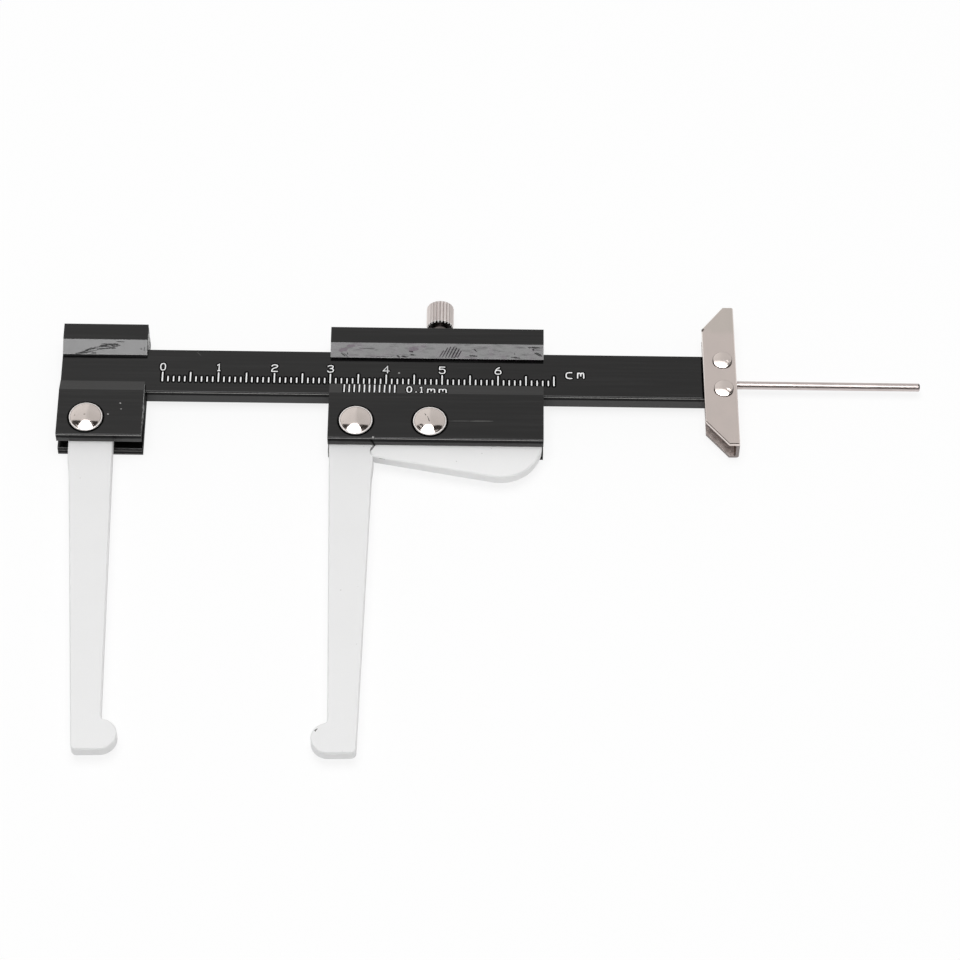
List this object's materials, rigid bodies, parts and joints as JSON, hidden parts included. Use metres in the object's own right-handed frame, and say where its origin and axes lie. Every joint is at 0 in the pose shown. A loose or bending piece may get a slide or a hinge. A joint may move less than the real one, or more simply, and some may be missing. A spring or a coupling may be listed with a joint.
{
  "type": "tire tread depth gauge",
  "caption": "Small vernier gauge with long hooked jaws, a depth rod with a folded base, a thumb plate and a knurled lock screw on a black slider.",
  "frame": {"origin": "on the back of the fixed head, at the middle of its length and under the centre line of the bar; the gauge lies on its back with the plane z = 0 on the table", "axes": "+X along the bar from the fixed head to the depth base, +Y from the jaws towards the lock screw, +Z out of the scale face"},
  "size_m": [0.1539, 0.0931, 0.0075],
  "materials": {
    "black_bar": "satin black anodised",
    "black_holder": "satin black anodised, with drawing lines and worn bevels",
    "pale_plate": "fine matt, tumbled edges",
    "plated_rivet": "bright nickel plated",
    "plated_knob": "nickel plated, knurled",
    "plated_sheet": "satin nickel plated sheet",
    "sheet_rivet": "bright nickel plated",
    "bright_rod": "polished drawn rod",
    "dark_steel": "black oxide",
    "brass": "plain rolled"
  },
  "bodies": {
    "beam": {"main_bar": "black_bar", "fixed_head": "black_holder", "head_set_screw_left": "dark_steel", "head_set_screw_right": "dark_steel", "fixed_jaw": "pale_plate", "fixed_jaw_rivet": "plated_rivet", "depth_base": "plated_sheet", "depth_base_rivet_upper": "sheet_rivet", "depth_base_rivet_lower": "sheet_rivet"},
    "slider": {"slider_body": "black_holder", "moving_jaw": "pale_plate", "moving_jaw_rivet": "plated_rivet", "thumb_plate": "pale_plate", "thumb_plate_rivet": "plated_rivet", "gib_strip": "brass", "depth_rod": "bright_rod", "depth_rod_block": "brass", "depth_rod_screw": "dark_steel"},
    "lock_screw": {"lock_screw": "plated_knob"}
  },
  "joints": [
    {"name": "slider_slide", "type": "slide", "parent": "beam", "child": "slider", "axis": [1, 0, 0], "range_m": [-0.03255, 0.0283]},
    {"name": "lock_screw_turn", "type": "hinge", "parent": "slider", "child": "lock_screw", "pos_m": [0.05996, 0, 0.00305], "axis": [0, 1, 0], "range_deg": [0, 270]}
  ]
}
